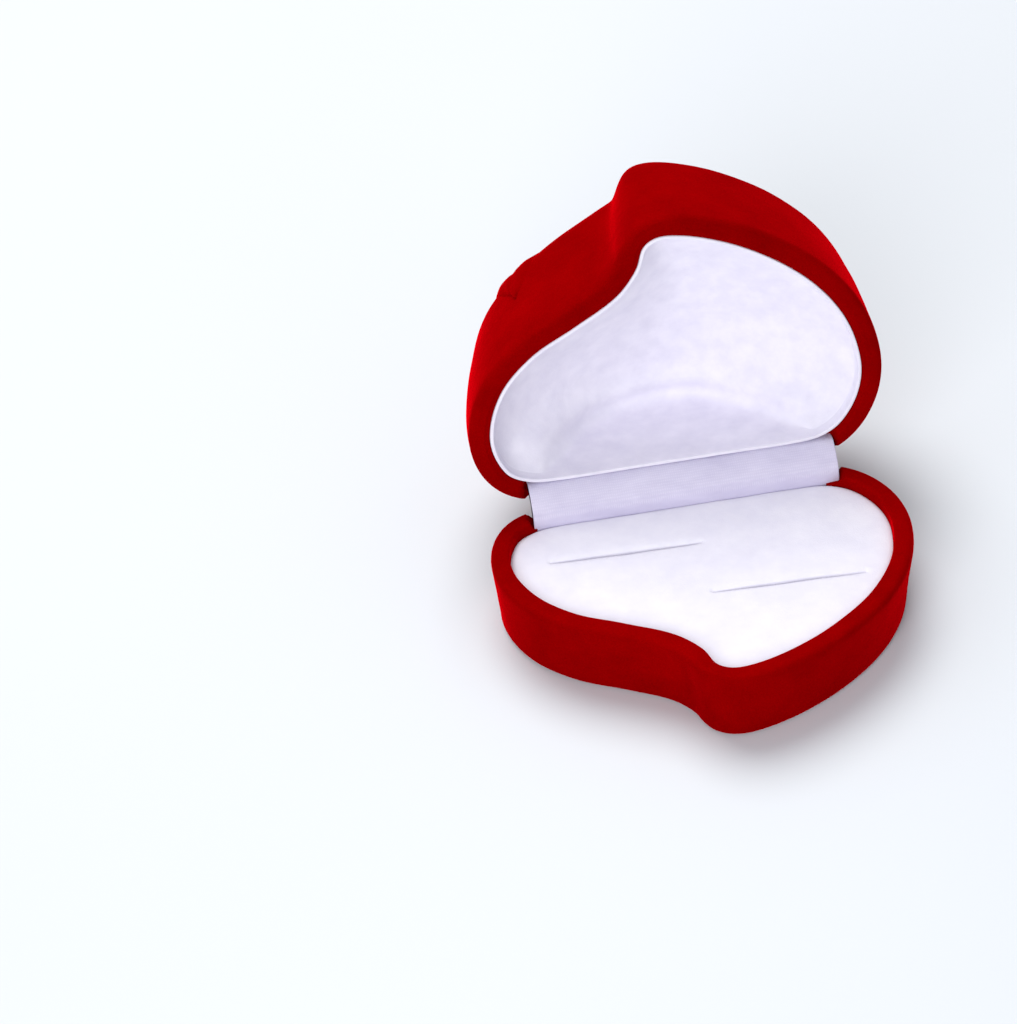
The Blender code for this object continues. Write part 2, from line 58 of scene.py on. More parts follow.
# The box, as in its solids
OPEN_ANGLE = 100.0
BASE_TOP = 12.9
RIM_GAP = 0.3
LID_RIM = BASE_TOP + RIM_GAP
LID_HEIGHT = 24.4
LID_TOP = LID_RIM + LID_HEIGHT
RIM_WIDTH = 3.2
WALL_WIDTH = 3.8
FLOOR_TOP = 1.8
HINGE_Y = 23.4
HINGE_Z = 13.05
NOTCH_HALF = 25.1
NOTCH_DEPTH = 2.0
BACK_Y = 20.2
BACK_ZONE = (18.6, 19.6)
POCKET_Y = 21.65
POCKET_END = (9.2, 9.8)
LEFT_LEAN = 5.0
FLANK_LEAN = 2.4
LEAN_POWER = 1.6
HEART_CENTRE = np.array([0.0, 5.0])
RIM_POINTS = (
    (-19.5, 20.2), (-7.0, 20.2), (7.0, 20.2), (18.5, 20.2),
    (23.0, 19.6), (26.4, 17.4), (29.2, 12.6), (29.9, 7.0),
    (27.8, -0.8), (23.0, -7.8), (16.0, -13.6), (8.0, -17.8),
    (0.2, -19.8), (-3.2, -18.6), (-4.8, -14.7), (-8.2, -10.6),
    (-15.0, -6.5), (-22.0, -2.6), (-27.5, 3.2), (-29.9, 11.0), (-28.0, 17.4), (-24.3, 19.7),
)  # fmt: skip
OUTLINE_STEPS = 300
OUTLINE_SOFTNESS = 0.45
EASE = 2.6
CROWN_EASE = 2.6
CROWN_BEND = 5.0
CROWN_TURN = 78
CROWN_SHRINKS = (0.985, 0.965, 0.94, 0.91, 0.87, 0.82, 0.76, 0.69, 0.61, 0.52, 0.42, 0.31, 0.19, 0.07)

# Cushion
PAD_LOW = 3.2
PAD_TOP = 11.0
PAD_CROWN = 0.45
SLITS = (((-11.6, 11.2), -2.0), ((11.6, -1.2), -2.0))
SLIT_HALF_LENGTH = 12.0
SLIT_HALF_WIDTH = 0.3
PAD_EDGE_INSETS = (0.10, 0.15, 0.26, 0.45, 0.8, 1.4, 2.2)
PAD_SIDES = (  # height, inset
    (PAD_TOP - 1.2, 0.12), (8.0, 0.2), (5.5, 0.3), (PAD_LOW + 0.9, 0.3), (PAD_LOW + 0.2, 0.5), (PAD_LOW, 0.9),
)  # fmt: skip
SLIT_LIPS = (0.0, 0.12, 0.3, 0.55, 0.9, 1.35)

# Liner
LIP_RECESS = 0.45
LIP_INNER = -0.68
LIP_BACK = BACK_Y + LIP_INNER
LIP_BEAD = 0.4
LINER_RISE = 22.0
BACK_WALL_HALF = 22.0
BACK_WALL_SLOPE = 15.0
BOWL_START = 1.2
BOWL_DEPTH = 16.5
BOWL_REACH = 24.5
BOWL_SKEW = 0.1
BOWL_POWER = 1.6
BOWL_CORNER = 1.4
BOWL_SHRINKS = (
    0.985, 0.968, 0.948, 0.925, 0.90, 0.87, 0.84, 0.81, 0.77, 0.73,
    0.69, 0.64, 0.59, 0.53, 0.47, 0.40, 0.32, 0.24, 0.15, 0.05,
)  # fmt: skip

# Cloth strip over the hinge: its ends along X, and its cross-section's (y, z) knots
STRIP_LOW_X, STRIP_HIGH_X = -24.6, 24.7
STRIP_HALF_THICK = 0.13
STRIP_KNOTS = (
    (20.33, 8.9), (20.33, 10.4), (20.4, 12.0), (20.75, 13.2), (21.5, 14.1),
    (22.74, 15.1), (23.9, 15.72), (24.87, 15.91), (26.4, 15.66), (28.02, 15.38),
)  # fmt: skip

# Pieces that keep their solid's shape
STEEL_NODES = (
    "hinge_base_leaf", "hinge_lid_leaf", "hinge_pin", "hinge_spring",
    "hinge_rivet_base_left", "hinge_rivet_base_right", "hinge_rivet_lid_left", "hinge_rivet_lid_right",
)  # fmt: skip

# Rose and leaves on the lid
ROSE_CENTRE = np.array([-16.0, 10.8])
ROSE_RADIUS = 9.4
HOOK_TURNS = 1.35
# Petals: centre angle, half span, crest radius, bulge, skew (how far it winds outward), crest height
PETALS = (
    (250, 120, 2.9, 0.2, 0.9, 4.25), (20, 120, 3.6, 0.2, 0.8, 4.0), (135, 110, 3.7, 0.2, 0.6, 3.95),
    (300, 85, 5.2, 0.3, 0.7, 3.35), (40, 80, 5.4, 0.3, 0.6, 3.2), (125, 75, 5.3, 0.3, 0.5, 3.15),
    (215, 80, 5.3, 0.35, 0.6, 3.25), (262, 68, 7.6, 0.6, 0.5, 2.25), (335, 62, 7.2, 0.5, 0.5, 2.2),
    (45, 62, 7.2, 0.5, 0.4, 2.1), (115, 60, 7.1, 0.5, 0.4, 2.05), (188, 62, 7.7, 0.6, 0.5, 2.3),
)  # fmt: skip


def rim_curve(steps):
    """Points and outward normals, evenly spaced along a closed smooth curve through RIM_POINTS."""
    knots = np.array(RIM_POINTS)
    fine = []
    for i in range(len(knots)):
        before, start, end, after = (knots[(i + k) % len(knots)] for k in (-1, 0, 1, 2))
        reach = np.linalg.norm(end - start)
        lead = (end - before) / np.linalg.norm(end - before) * reach
        trail = (after - start) / np.linalg.norm(after - start) * reach
        for t in np.linspace(0, 1, 40, endpoint=False):
            fine.append(
                (2 * t**3 - 3 * t**2 + 1) * start + (t**3 - 2 * t**2 + t) * lead
                + (3 * t**2 - 2 * t**3) * end + (t**3 - t**2) * trail
            )  # fmt: skip
    points = even_loop(np.array(fine), steps)
    length = np.linalg.norm(np.roll(points, -1, axis=0) - points, axis=1).sum()
    points = even_loop(softened(points, OUTLINE_SOFTNESS * steps / length), steps)
    tangent = np.roll(points, -1, axis=0) - np.roll(points, 1, axis=0)
    tangent /= np.linalg.norm(tangent, axis=1)[:, None]
    return points, np.stack([-tangent[:, 1], tangent[:, 0]], axis=1)


def even_loop(points, steps):
    closed = np.vstack([points, points[:1]])
    along = np.r_[0, np.cumsum(np.linalg.norm(np.diff(closed, axis=0), axis=1))]
    at = np.linspace(0, along[-1], steps, endpoint=False)
    return np.stack([np.interp(at, along, closed[:, k]) for k in (0, 1)], axis=1)


def softened(values, sigma):
    """A closed loop of values smoothed by a bell curve of sigma steps."""
    reach = max(1, int(3 * sigma))
    weights = np.exp(-0.5 * (np.arange(-reach, reach + 1) / sigma) ** 2)
    weights /= weights.sum()
    return sum(w * np.roll(values, k, axis=0) for w, k in zip(weights, range(-reach, reach + 1)))


RIM, NORMAL = rim_curve(OUTLINE_STEPS)
LIP_LINE = RIM + NORMAL * LIP_INNER


def ring(offset, z, shrink=1.0):
    """One level: the rim curve moved out by offset, its fold eased where it lies outside the rim."""
    flat = RIM + NORMAL * offset
    if offset > 1:
        flat = softened(flat, EASE * min(1.0, (offset - 1) / 2))
    flat = HEART_CENTRE + (flat - HEART_CENTRE) * shrink
    return np.column_stack([flat, np.full(len(flat), z)])


def lid_ring(offset, z, shrink=1.0):
    """A level of the lid: as it rises its left end leans inward, and the flank behind the tail outward."""
    share = max(0.0, (z - LID_RIM) / LID_HEIGHT) ** LEAN_POWER * shrink
    facing = np.clip((-NORMAL[:, 0] - 0.3) / 0.7, 0, 1) * (1 + 0.25 * np.clip(RIM[:, 1] / 15, 0, 1))
    flank = step(-RIM[:, 0], 3, 7) * (1 - step(-RIM[:, 0], 13, 22)) * (RIM[:, 1] < 2)
    level = ring(offset, z, shrink)
    level[:, 0] += softened(facing, 2.5) * LEFT_LEAN * share
    level[:, 1] -= softened(flank, 2.5) * FLANK_LEAN * share
    if share > 0.25:
        level[:, :2] = softened(level[:, :2], CROWN_EASE * share)
    return level


def step(value, low, high):
    t = np.clip((value - low) / (high - low), 0, 1)
    return t * t * (3 - 2 * t)


def rounded(corners, spacing=0.5):
    """A fine (u, v) line through (u, v, radius) corners, each rounded to its radius."""
    spots = [np.array(c[:2], float) for c in corners]
    line = [spots[0]]
    for before, here, after, corner in zip(spots, spots[1:], spots[2:], corners[1:]):
        back = (before - here) / np.linalg.norm(before - here)
        ahead = (after - here) / np.linalg.norm(after - here)
        half = math.acos(float(np.clip(back @ ahead, -1, 1))) / 2
        room = 0.49 * min(np.linalg.norm(before - here), np.linalg.norm(after - here))
        cut = min(corner[2] / math.tan(half), room)
        start, end = here + back * cut, here + ahead * cut
        for t in np.linspace(0, 1, 9):
            line.append((1 - t) ** 2 * start + 2 * t * (1 - t) * here + t * t * end)
    line.append(spots[-1])
    dense = [line[0]]
    for a, b in zip(line, line[1:]):
        pieces = max(1, int(np.linalg.norm(b - a) / spacing))
        dense += [a + (b - a) * k / pieces for k in range(1, pieces + 1)]
    return dense


def opened(points):
    """Where points of the closed lid go when the lid is open."""
    angle = -math.radians(OPEN_ANGLE)
    turned = np.array(points, float)
    y, z = turned[..., 1] - HINGE_Y, turned[..., 2] - HINGE_Z
    turned[..., 1] = HINGE_Y + y * math.cos(angle) - z * math.sin(angle)
    turned[..., 2] = HINGE_Z + y * math.sin(angle) + z * math.cos(angle)
    return turned


def make_object(name, points, faces, material):
    data = bpy.data.meshes.new(name)
    data.from_pydata([tuple(p) for p in np.asarray(points) * MM], [], faces)
    mesh = bmesh.new()
    mesh.from_mesh(data)
    bmesh.ops.recalc_face_normals(mesh, faces=mesh.faces)
    mesh.to_mesh(data)
    mesh.free()
    data.shade_smooth()
    data.materials.append(material)
    obj = bpy.data.objects.new(name, data)
    bpy.context.scene.collection.objects.link(obj)
    return obj


def loft(levels):
    """Points and faces of a closed body through equal loops, with a fan at each end."""
    levels = [np.asarray(level) for level in levels]
    count = len(levels[0])
    points = np.vstack(levels)
    faces = []
    for row in range(len(levels) - 1):
        low = row * count
        for i in range(count):
            j = (i + 1) % count
            faces.append((low + i, low + j, low + count + j, low + count + i))
    centres = np.array([levels[0].mean(0), levels[-1].mean(0)])
    last = len(points)
    for i in range(count):
        j = (i + 1) % count
        faces.append((j, i, last))
        top = (len(levels) - 1) * count
        faces.append((top + i, top + j, last + 1))
    return np.vstack([points, centres]), faces


def waves(points, size, amount, seed):
    """Gentle unevenness: a small smooth push per point, the same each run."""
    shift = Vector((seed * 7.3, seed * 3.1, seed * 1.7))
    return np.array([noise.noise(Vector(p) / size + shift) for p in points]) * amount


def seat(points, rim, up):
    """Draws a shell's back down (up is 1) or up (-1) and back around the hinge: its notch and the
    leaf's pocket."""
    x, y, z = points[:, 0], points[:, 1], points[:, 2]
    at_back = step(y, *BACK_ZONE)
    inside = 1 - step(np.abs(x), NOTCH_HALF - 0.25, NOTCH_HALF + 0.25)
    height = (rim - z) * up
    near = np.clip(1 - height / 4.0, 0, 1)
    lowered = z - up * NOTCH_DEPTH * near * at_back * inside
    wide = POCKET_Y + (y - BACK_Y) * (BACK_Y + RIM_WIDTH - POCKET_Y) / RIM_WIDTH
    deep = 1 - step(height, *POCKET_END)
    moved = np.where(y > BACK_Y - 0.4, y + (wide - y) * inside * deep * at_back, y)
    return np.column_stack([x, moved, lowered])


def base_flock(material):
    outer = [(-2.0, 0.0, 0), (2.05, 0.0, 1.1), (2.6, 7.0, 6.0), (RIM_WIDTH + 0.06, BASE_TOP + 0.03, 2.3)]
    inner = [(0.0, BASE_TOP - 0.15, 0.6), (0.0, FLOOR_TOP, 0.8), (-2.0, FLOOR_TOP, 0)]
    levels = [ring(-2.0, 0.0, s) for s in (0.05, 0.3, 0.6, 0.85)]
    levels += [ring(u, v) for u, v in rounded(outer + inner, 0.55)]
    levels += [ring(-2.0, FLOOR_TOP, s) for s in (0.85, 0.5, 0.05)]
    points, faces = loft(levels)
    points = seat(points, BASE_TOP, 1)
    above = step(points[:, 2], 0.5, 2.5)
    points[:, :2] += normals_at(points) * (waves(points, 7.0, 0.10, 1) * above)[:, None]
    return make_object("base_flock", points, faces, material)


def normals_at(points):
    """The nearest outline normal of each point, for small pushes of a wall."""
    out = np.empty((len(points), 2))
    for start in range(0, len(points), 4000):
        part = points[start : start + 4000, :2]
        near = ((part[:, None, :] - RIM[None, ::3, :]) ** 2).sum(2).argmin(1)
        out[start : start + 4000] = NORMAL[::3][near]
    return out


def lid_outer():
    """Levels of the lid's outside, from its rim to its crown."""
    offset, height = WALL_WIDTH - CROWN_BEND, LID_TOP - CROWN_BEND - 0.9
    wall = [(0.5, LID_RIM + 0.25, 0), (0.9, LID_RIM + 0.02, 0.4), (RIM_WIDTH + 0.1, LID_RIM + 0.05, 2.9)]
    wall += [(RIM_WIDTH + 0.45, LID_RIM + 7, 9), (WALL_WIDTH, LID_RIM + 13, 9), (WALL_WIDTH, height, 0)]
    levels = [lid_ring(u, v) for u, v in rounded(wall, 0.6)]
    for angle in np.radians(np.linspace(0, CROWN_TURN, 22))[1:]:
        levels.append(lid_ring(offset + CROWN_BEND * math.cos(angle), height + CROWN_BEND * math.sin(angle)))
    edge = offset + CROWN_BEND * math.cos(math.radians(CROWN_TURN))
    low = height + CROWN_BEND * math.sin(math.radians(CROWN_TURN))
    for shrink in CROWN_SHRINKS:
        rise = (LID_TOP - low) * (1 - math.exp(-(1 - shrink) * 25 / 4.6))
        levels.append(lid_ring(edge, low + rise, shrink))
    return levels


def lid_inner():
    """Levels of the lid's inside, from its ceiling to its rim."""
    ceiling = LID_TOP - 1.9
    line = [(-2.0, ceiling, 0), (-1.0, ceiling, 0.8), (0.0, ceiling - 3.5, 2.0)]
    line += [(0.0, LID_RIM + 0.35, 0.4), (0.5, LID_RIM + 0.25, 0)]
    levels = [lid_ring(-2.0, ceiling, s) for s in (0.05, 0.4, 0.8)]
    return levels + [lid_ring(u, v) for u, v in rounded(line, 0.8)]


def lid_flock(material):
    points, faces = loft(lid_inner() + lid_outer()[1:])
    points = seat(points, LID_RIM, -1)
    above = step(points[:, 2], LID_RIM + 0.5, LID_RIM + 3)
    push = waves(points, 8.0, 0.12, 2) * above
    points[:, :2] += normals_at(points) * push[:, None]
    points[:, 2] += waves(points, 9.0, 0.10, 3) * step(points[:, 2], LID_TOP - 2, LID_TOP - 0.5)
    return make_object("lid_flock", opened(points), faces, material)


def lid_tree():
    """The closed lid's outside, to cast rays at."""
    points, faces = loft(lid_outer())
    return BVHTree.FromPolygons([tuple(p) for p in points], [tuple(f) for f in faces])


def from_sides(points):
    """Distance to the lip's line apart from its back, evened out where two sides are as near."""
    back = (LIP_LINE[:, 1] > LIP_BACK - 0.25) & (np.abs(LIP_LINE[:, 0]) < BACK_WALL_HALF)
    side = LIP_LINE[~back]
    away = np.linalg.norm(points[:, None, :2] - side[None], axis=2) + 1e-3
    return (0.42 * (away**-5.0).sum(axis=1)) ** -0.25


def bowl_height(points):
    """How far the liner's inside rises above its lip: an arched vault that the flat back wall cuts,
    with a cove along their crease and a low swelling beside it."""
    to_side = np.clip(from_sides(points) / (BOWL_REACH + BOWL_SKEW * points[:, 0]), 0, 1)
    vault = BOWL_START + BOWL_DEPTH * (1 - (1 - to_side) ** BOWL_POWER)
    wall = np.clip(LIP_BACK + 0.05 - points[:, 1], 0, None) * BACK_WALL_SLOPE
    past = np.clip(wall - vault, 0, None) / BACK_WALL_SLOPE
    cove = 1.9 * np.exp(-past / 0.8) + 1.1 * np.exp(-(((past - 3.6) / 1.6) ** 2))
    vault = vault - cove * step(vault, 2, 6)
    return 0.5 * (vault + wall - np.sqrt((vault - wall) ** 2 + BOWL_CORNER**2)) + 0.45


def liner(material):
    """A thin formed bowl with a narrow beaded lip at its mouth."""
    low = LID_RIM + LIP_RECESS
    bead = low + LIP_BEAD
    top = LID_RIM + LINER_RISE
    shell = [(-4.0, top, 0), (-1.6, top, 1.6), (-0.6, top - 5, 3.0), (-0.3, top - 6, 0)]
    lip = [(-0.25, low + 1.2, 0.8), (-0.08, low + 0.5, 0.2), (-0.08, low - 0.05, 0.3)]
    lip += [(LIP_INNER, low - 0.05, 0.3), (LIP_INNER, bead, 0)]
    levels = [lid_ring(-2.6, top, s) for s in (0.05, 0.4, 0.75, 0.93)]
    levels += [bowl_ring(u, v) for u, v in rounded(shell + lip, 0.4)]
    outside = len(levels)
    insets = [LIP_INNER - 0.03 * k**1.45 for k in range(1, 19)]
    levels += [bowl_ring(u, bead) for u in insets]
    levels += [bowl_ring(insets[-1], bead, s) for s in BOWL_SHRINKS]
    for level in levels[outside:]:
        level[:, 2] = bead + np.maximum(0.0, bowl_height(level))
        share = np.clip((level[:, 2] - LID_RIM) / LID_HEIGHT, 0, 1)
        level[:, 0] += np.clip(-level[:, 0] / 25, 0, 1) * 1.6 * share
    points, faces = loft(levels)
    inner = step(points[:, 2], low + 2, low + 8)
    points[:, 2] += waves(points, 9.0, 0.12, 4) * inner
    return make_object("liner", opened(points), faces, material)


def bowl_ring(offset, z, shrink=1.0):
    """A liner level: deep insets use a softer outline, so that the tail's corner doesn't fold."""
    level = lid_ring(min(0.0, max(offset, -1.5)), z, shrink)
    extra = offset - max(offset, -1.5)
    if extra < 0:
        flat = level[:, :2]
        level[:, :2] = flat + (softened(NORMAL, 5.0) * extra) * shrink
    return level


def capsule(half_length, half_width, offset, steps=96):
    """A thin lens with rounded ends, grown by offset."""
    loop = []
    for k in range(steps):
        angle = 2 * math.pi * k / steps
        x = half_length * math.cos(angle)
        y = half_width * math.sin(angle)
        n = np.array([math.cos(angle) * half_width, math.sin(angle) * half_length])
        n /= np.linalg.norm(n)
        loop.append(np.array([x, y]) + n * offset)
    return np.array(loop)


def placed(loop, spot, turn):
    """A loop turned by some degrees and moved to a spot."""
    angle = math.radians(turn)
    spin = np.array([[math.cos(angle), -math.sin(angle)], [math.sin(angle), math.cos(angle)]])
    return loop @ spin.T + np.array(spot)


def inside(points, loop):
    """Whether each point lies inside a closed loop."""
    x, y = points[:, 0], points[:, 1]
    found = np.zeros(len(points), bool)
    for a, b in zip(loop, np.roll(loop, -1, axis=0)):
        crosses = (a[1] > y) != (b[1] > y)
        with np.errstate(divide="ignore", invalid="ignore"):
            found ^= crosses & (x < (b[0] - a[0]) * (y - a[1]) / (b[1] - a[1]) + a[0])
    return found


def distance(points, loop):
    """The distance of each point to a closed loop's points."""
    out = np.empty(len(points))
    for start in range(0, len(points), 2000):
        part = points[start : start + 2000]
        out[start : start + 2000] = np.sqrt(((part[:, None] - loop[None]) ** 2).sum(2).min(1))
    return out


def cushion(material):
    """A foam block with a soft crowned top and two slits whose lips roll in."""
    loops = [RIM - NORMAL * inset for inset in PAD_EDGE_INSETS]
    slit_loops = []
    for spot, turn in SLITS:
        rows = [placed(capsule(SLIT_HALF_LENGTH, SLIT_HALF_WIDTH, lip), spot, turn) for lip in SLIT_LIPS]
        slit_loops.append(rows)
        loops += rows
    rows_y, columns_x = np.arange(-21, 21, 0.9), np.arange(-31, 31, 1.0)
    grid = np.array([(x + 0.5 * (row % 2), y) for row, y in enumerate(rows_y) for x in columns_x])
    grid += 0.12 * np.array([[noise.noise(Vector((x, y, k))) for k in (0.5, 7.5)] for x, y in grid])
    keep = inside(grid, loops[len(PAD_EDGE_INSETS) - 1]) & (distance(grid, RIM) > 2.9)
    for rows in slit_loops:
        keep &= ~inside(grid, rows[-1]) & (distance(grid, rows[-1]) > 0.5)
    grid = grid[keep]
    flat = np.vstack(loops + [grid])
    edges = []
    start = 0
    for loop in loops:
        edges += [(start + i, start + (i + 1) % len(loop)) for i in range(len(loop))]
        start += len(loop)
    found = delaunay_2d_cdt([Vector(p) for p in flat], edges, [], 0, 1e-7, True)
    spots, triangles = np.array([tuple(v) for v in found[0]]), found[2]
    index = {original: new for new, group in enumerate(found[3]) for original in group}
    middle = np.array([spots[list(t)].mean(0) for t in triangles])
    good = inside(middle, loops[0])
    for rows in slit_loops:
        good &= ~inside(middle, rows[0])
    triangles = [tuple(t) for t, ok in zip(triangles, good) if ok]

    border = distance(spots, even_loop(loops[0], 1200))
    height = PAD_TOP - 0.4 + 0.4 * np.sqrt(1 - (1 - np.clip(border / 0.9, 0, 1)) ** 2)
    height += PAD_CROWN * (1 - np.exp(-border / 6.0)) - 0.1
    for rows in slit_loops:
        lip = distance(spots, even_loop(rows[0], 500))
        height -= 0.42 * np.exp(-(lip / 0.42) ** 1.3) + 0.12 * np.exp(-lip / 1.8)
    top_points = np.column_stack([spots, height])
    top_points[:, 2] += waves(top_points, 6.0, 0.10, 6)
    points = [top_points]
    faces = list(triangles)
    total = len(spots)

    def skirt(start_ids, levels):
        """Walls from the loop start_ids through each level, closed by a fan."""
        nonlocal total
        above = list(start_ids)
        for level in levels:
            points.append(level)
            below = list(range(total, total + len(level)))
            total += len(level)
            for i in range(len(above)):
                j = (i + 1) % len(above)
                faces.append((above[i], above[j], below[j], below[i]))
            above = below
        points.append(levels[-1].mean(0)[None])
        for i in range(len(above)):
            faces.append((above[i], above[(i + 1) % len(above)], total))
        total += 1

    sides = [np.column_stack([RIM - NORMAL * inset, np.full(OUTLINE_STEPS, z)]) for z, inset in PAD_SIDES]
    sides += [ring(-1.2, PAD_LOW, s) for s in (0.7, 0.3)]
    skirt([index[i] for i in range(OUTLINE_STEPS)], sides)
    first = len(PAD_EDGE_INSETS) * OUTLINE_STEPS
    for rows, (spot, turn) in zip(slit_loops, SLITS):
        ids = [index[first + i] for i in range(len(rows[0]))]
        first += sum(len(r) for r in rows)
        depth = []
        for drop, width in ((0.35, 0.8), (1.0, 0.55), (2.5, 0.4), (5.0, 0.3)):
            loop = placed(capsule(SLIT_HALF_LENGTH - 0.02 * drop, SLIT_HALF_WIDTH * width, 0.0), spot, turn)
            depth.append(np.column_stack([loop, top_points[ids, 2] - drop]))
        skirt(ids, depth)
    return make_object("cushion", np.vstack(points), faces, material)


def smooth_path(knots, count):
    """Evenly spaced points on a smooth open line through the knots, and its length."""
    knots = np.array(knots, float)
    fine = []
    padded = np.vstack([2 * knots[0] - knots[1], knots, 2 * knots[-1] - knots[-2]])
    for i in range(1, len(padded) - 2):
        a, b, c, d = padded[i - 1 : i + 3]
        square, cube = 2 * a - 5 * b + 4 * c - d, 3 * b - a - 3 * c + d
        for t in np.linspace(0, 1, 30, endpoint=False):
            fine.append(0.5 * (2 * b + (c - a) * t + square * t**2 + cube * t**3))
    fine = np.array(fine + [knots[-1]])
    along = np.r_[0, np.cumsum(np.linalg.norm(np.diff(fine, axis=0), axis=1))]
    at = np.linspace(0, along[-1], count)
    return np.stack([np.interp(at, along, fine[:, k]) for k in range(fine.shape[1])], axis=1), along[-1]


def hinge_strip(material):
    """The cloth strip from behind the cushion, over the barrel, to behind the liner's lip."""
    path, length = smooth_path(STRIP_KNOTS, 64)
    tangent = np.gradient(path, axis=0)
    tangent /= np.linalg.norm(tangent, axis=1)[:, None]
    side = np.stack([-tangent[:, 1], tangent[:, 0]], axis=1)
    xs = np.linspace(STRIP_LOW_X, STRIP_HIGH_X, 260)
    front, back = [], []
    for x in xs:
        wave = np.array([noise.noise(Vector((x / 5.0, t / 9.0, 3.3))) for t in range(len(path))])
        wave += 0.5 * np.array([noise.noise(Vector((x / 1.7, t / 14.0, 8.1))) for t in range(len(path))])
        fade = np.sin(np.pi * np.linspace(0, 1, len(path))) ** 0.7
        bump = (wave * 0.085 * fade)[:, None] * side
        front.append(path + side * STRIP_HALF_THICK + bump)
        back.append(path - side * STRIP_HALF_THICK + bump)
    levels = []
    for x, f, b in zip(xs, front, back):
        loop = np.vstack([f, b[::-1]])
        levels.append(np.column_stack([np.full(len(loop), x), loop]))
    points, faces = loft(levels)
    return make_object("hinge_strip", points, faces, material), length


def above_lid(tree, x, y):
    """The point of the closed lid's top over (x, y)."""
    spot, _, _, _ = tree.ray_cast(Vector((x, y, 100.0)), Vector((0, 0, -1)))
    return spot


def ramp(value, round_by=0.22):
    """Zero below 0 and value above it, with a rounded turn."""
    return 0.5 * (value + np.sqrt(value * value + round_by * round_by)) - 0.5 * round_by * 0.25


def rose_height(radius, angle):
    """Height of the bloom over the lid: the highest of its petals, whose lips are rounded ridges, and
    of the spiral hook in the middle."""
    layers = []
    for centre, span, crest, bulge, skew, height in PETALS:
        away = (np.degrees(angle) - centre + 180) % 360 - 180
        share = away / span
        edge = crest + bulge * (1 - share**2) + skew * share * 0.5
        lip = height + 0.12 * np.cos(np.radians(away) * 5) - 1.5 * np.abs(share) ** 5 - 0.12 * share
        outside = ramp(radius - edge)
        within = ramp(edge - radius)
        layers.append(1.2 * lip - 1.7 * outside - 0.05 * outside**2 - 3.2 * within)
    for turn in range(3):
        theta = np.radians((np.degrees(angle) - 40) % 360) + 2 * math.pi * turn
        edge = 0.35 + 0.255 * theta
        gone = ramp(theta - HOOK_TURNS * 2 * math.pi, 0.3)
        outside, within = ramp(radius - edge, 0.18), ramp(edge - radius, 0.18)
        layers.append(4.75 - 0.05 * theta - 1.1 * outside - 2.4 * within - 1.4 * gone)
    layers.append(np.full_like(radius, 0.25))
    stack = np.stack(layers)
    soft = 0.09
    top = stack.max(0)
    merged = top + soft * np.log(np.exp((stack - top) / soft).sum(0))
    rim = ROSE_RADIUS + 0.25 * np.cos(5 * angle + 0.6)
    return merged * (1 - step(radius, rim - 1.2, rim)) - 0.5 * step(radius, rim - 0.35, rim)


def rose(material, tree):
    around, rows = 240, 110
    levels = []
    for row in range(rows, 0, -1):
        reach = (row / rows) ** 0.85 * (ROSE_RADIUS + 0.3)
        angle = np.arange(around) * 2 * math.pi / around
        height = rose_height(np.full(around, reach), angle)
        x = ROSE_CENTRE[0] + reach * np.cos(angle)
        y = ROSE_CENTRE[1] + reach * np.sin(angle)
        spots = np.array([tuple(above_lid(tree, a, b)) for a, b in zip(x, y)])
        spots[:, 2] += height
        levels.append(spots)
    under = [level.copy() for level in levels[::14]]
    for level, source in zip(under, levels[::14]):
        level[:, 2] = np.array([above_lid(tree, a, b).z for a, b in source[:, :2]]) - 0.9
    points, faces = loft(under[::-1] + levels)
    points[:, 2] += waves(points, 1.3, 0.05, 7)
    return make_object("rose", opened(points), faces, material)


def leaf(name, ends, half_width, focus, material, tree, fold=0.0, bend=0.0, lift=1.0, fade=0.0, crisp=6.0):
    """A pointed leaf draped over the lid along rays towards focus: domed halves, a sunk midrib
    with side veins, and a rounded rim that stands off the lid. It fades towards its tip."""
    root, tip, focus = Vector(ends[0]), Vector(ends[1]), Vector(focus)
    side = (tip - root).cross((root + tip) / 2 - focus).normalized()
    along_steps, across_steps = 70, 44
    top, under = [], []
    for i in range(along_steps + 1):
        t = i / along_steps
        width = half_width * max(0.02, math.sin(math.pi * (0.24 + 0.70 * t)) ** 0.8 * (1 - t**3.5))
        top_row, under_row = [], []
        for j in range(-across_steps, across_steps + 1):
            s = j / across_steps
            spread = math.copysign(1 - (1 - abs(s)) ** 1.25, s)
            curve = bend * math.sin(math.pi * t)
            spot = root.lerp(tip, t) + side * (width * spread + curve)
            ray = (focus - spot).normalized()
            hit, normal, _, _ = tree.ray_cast(spot - ray * 40, ray)
            normal = -normal if normal.dot(ray) > 0 else normal
            edge = 1 - abs(spread) ** crisp
            rise = lift * (1.15 - 0.35 * abs(spread) ** 2 + fold * spread) * edge
            rise -= 0.42 * lift * math.exp(-((spread * width / 0.55) ** 2)) * (1 - t) ** 0.3
            vein = math.sin((t * 6.5 - abs(spread) * 1.6) * 2 * math.pi)
            rise += 0.055 * vein * edge * min(1.0, abs(spread) * 4)
            rise *= (1 - max(0.0, (t - 0.93) / 0.07) ** 2 * 0.6) * (1 - fade * t)
            top_row.append(tuple(hit + normal * rise))
            under_row.append(tuple(hit - normal * 0.7))
        top.append(np.array(top_row))
        under.append(np.array(under_row))
    levels = [np.vstack([a, b[::-1]]) for a, b in zip(top, under)]
    points, faces = loft(levels)
    return make_object(name, opened(points), faces, material)


